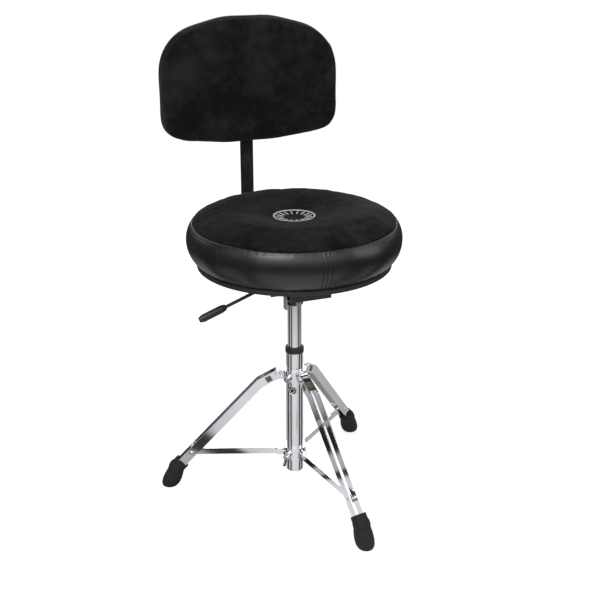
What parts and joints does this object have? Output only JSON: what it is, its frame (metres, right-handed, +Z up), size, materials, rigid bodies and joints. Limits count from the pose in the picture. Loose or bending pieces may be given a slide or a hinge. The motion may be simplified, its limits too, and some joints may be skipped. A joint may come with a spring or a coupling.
{
  "type": "drum throne",
  "caption": "Round padded seat with an adjustable backrest on a height-adjustable gas column and a folding double-braced tripod.",
  "frame": {"origin": "middle of the box around the whole throne, on the floor", "axes": "+Z up, the sitter faces -Y, the backrest is towards +Y, the release lever is on the sitter's right (-X)"},
  "size_m": [0.437, 0.5331, 0.848],
  "materials": {
    "chrome": "bright chrome plate on steel",
    "bright_steel": "zinc-plated steel",
    "zinc": "dull zinc plate",
    "black_paint": "semi-gloss black powder coat",
    "black_plastic": "fine moulded texture",
    "moulded_black": "satin moulded plastic",
    "boot_rubber": "matt moulded rubber",
    "olive_plastic": "dark olive moulded plastic",
    "plywood": "birch plywood",
    "foam": "upholstery foam",
    "vinyl": "semi-gloss black upholstery vinyl",
    "velour": "black brushed velour"
  },
  "bodies": {
    "stand": {"base_tube": "chrome", "column_bush": "black_plastic", "leg_collar": "chrome", "leg_pivot_bolts": "chrome", "collar_set_screw": "bright_steel", "tube_end_plate": "bright_steel", "bearing_lower_race": "bright_steel"},
    "rod": {"bearing_balls": "bright_steel", "bearing_upper_race": "bright_steel", "piston_rod": "bright_steel", "piston": "black_plastic", "rod_clip": "bright_steel", "rubber_buffer": "boot_rubber"},
    "lift": {"gas_cylinder": "chrome", "rod_guide": "black_plastic", "column_hub": "black_paint", "hub_screw": "bright_steel", "seat_channel": "black_paint", "mounting_bolts": "bright_steel", "tee_nuts": "bright_steel", "lever_pin": "bright_steel", "lever_clip": "zinc", "bar_guide": "black_paint", "seat_board": "plywood", "seat_trim": "black_plastic", "seat_foam": "foam", "seat_side_cover": "vinyl", "seat_top_cover": "velour"},
    "button": {"release_button": "bright_steel"},
    "lever": {"lever_rod": "black_paint", "lever_grip": "moulded_black"},
    "depth_clamp": {"depth_screw": "bright_steel", "depth_knob": "moulded_black"},
    "back_arm": {"back_bar": "black_paint"},
    "back_pad": {"back_clamp": "black_paint", "back_board": "plywood", "back_screws": "bright_steel", "back_foam": "foam", "back_front_cover": "velour", "back_rear_cover": "black_plastic"},
    "height_clamp": {"height_screw": "bright_steel", "height_knob": "moulded_black"},
    "slider": {"lower_collar": "chrome", "strut_pins": "chrome"},
    "wing": {"wing_bolt": "chrome"},
    "leg_1": {"leg_1_strips": "chrome", "leg_1_rivets": "chrome", "leg_1_spacer": "olive_plastic", "leg_1_boot": "boot_rubber"},
    "strut_1": {"strut_1": "chrome"},
    "leg_2": {"leg_2_strips": "chrome", "leg_2_rivets": "chrome", "leg_2_spacer": "olive_plastic", "leg_2_boot": "boot_rubber"},
    "strut_2": {"strut_2": "chrome"},
    "leg_3": {"leg_3_strips": "chrome", "leg_3_rivets": "chrome", "leg_3_spacer": "olive_plastic", "leg_3_boot": "boot_rubber"},
    "strut_3": {"strut_3": "chrome"}
  },
  "joints": [
    {"name": "seat_swivel", "type": "hinge", "parent": "stand", "child": "rod", "pos_m": [0.0184, -0.01694, 0.052], "axis": [0, 0, 1], "continuous": true},
    {"name": "seat_lift", "type": "slide", "parent": "rod", "child": "lift", "axis": [0, 0, 1], "range_m": [-0.08, 0.07]},
    {"name": "release_button_press", "type": "slide", "parent": "lift", "child": "button", "axis": [0, 0, 1], "range_m": [-0.0031, 0]},
    {"name": "lever_pull", "type": "hinge", "parent": "lift", "child": "lever", "pos_m": [-0.0076, -0.01694, 0.4208], "axis": [0, 1, 0], "range_deg": [0, 6], "stiffness_Nm_per_rad": 1, "springref_deg": -6.88},
    {"name": "depth_knob_turn", "type": "hinge", "parent": "lift", "child": "depth_clamp", "pos_m": [0.0184, 0.10706, 0.419], "axis": [0, 0, 1], "range_deg": [-360, 0]},
    {"name": "backrest_depth", "type": "slide", "parent": "lift", "child": "back_arm", "axis": [0, 1, 0], "range_m": [-0.04, 0.03]},
    {"name": "backrest_height", "type": "slide", "parent": "back_arm", "child": "back_pad", "axis": [0, 0, 1], "range_m": [-0.05, 0.05]},
    {"name": "height_knob_turn", "type": "hinge", "parent": "back_pad", "child": "height_clamp", "pos_m": [0.0184, 0.25106, 0.734], "axis": [0, 1, 0], "range_deg": [-360, 0]},
    {"name": "leg_1_fold", "type": "hinge", "parent": "stand", "child": "leg_1", "pos_m": [-0.01054, -0.00583, 0.235], "axis": [-0.3584, -0.9336, 0], "range_deg": [0, 42.1]},
    {"name": "leg_2_fold", "type": "hinge", "parent": "stand", "child": "leg_2", "pos_m": [0.02325, -0.04756, 0.235], "axis": [0.9877, 0.1564, 0], "range_deg": [0, 42.11]},
    {"name": "leg_3_fold", "type": "hinge", "parent": "stand", "child": "leg_3", "pos_m": [0.04249, 0.00257, 0.235], "axis": [-0.6293, 0.7771, 0], "range_deg": [0, 42.11]},
    {"name": "collar_slide", "type": "slide", "parent": "stand", "child": "slider", "axis": [0, 0, 1], "range_m": [0, 0.09582]},
    {"name": "strut_1_swing", "type": "hinge", "parent": "slider", "child": "strut_1", "pos_m": [-0.00961, -0.00619, 0.07239], "axis": [-0.3584, -0.9336, 0], "range_deg": [0, 85.22]},
    {"name": "strut_2_swing", "type": "hinge", "parent": "slider", "child": "strut_2", "pos_m": [0.02309, -0.04657, 0.07239], "axis": [0.9877, 0.1564, 0], "range_deg": [0, 85.22]},
    {"name": "strut_3_swing", "type": "hinge", "parent": "slider", "child": "strut_3", "pos_m": [0.04171, 0.00194, 0.07239], "axis": [-0.6293, 0.7771, 0], "range_deg": [0, 85.22]},
    {"name": "wing_bolt_turn", "type": "hinge", "parent": "slider", "child": "wing", "pos_m": [0.00562, -0.02657, 0.07239], "axis": [-0.7986, -0.6018, 0], "range_deg": [0, 360]}
  ],
  "couplings": [
    {"joint": "release_button_press", "follows": "lever_pull", "m_per_rad": -0.029},
    {"joint": "leg_2_fold", "follows": "leg_1_fold", "ratio": 1},
    {"joint": "leg_3_fold", "follows": "leg_1_fold", "ratio": 1},
    {"joint": "collar_slide", "follows": "leg_1_fold", "m_per_rad": 0.13027},
    {"joint": "strut_1_swing", "follows": "leg_1_fold", "ratio": 2.023},
    {"joint": "strut_2_swing", "follows": "leg_1_fold", "ratio": 2.023},
    {"joint": "strut_3_swing", "follows": "leg_1_fold", "ratio": 2.023}
  ]
}
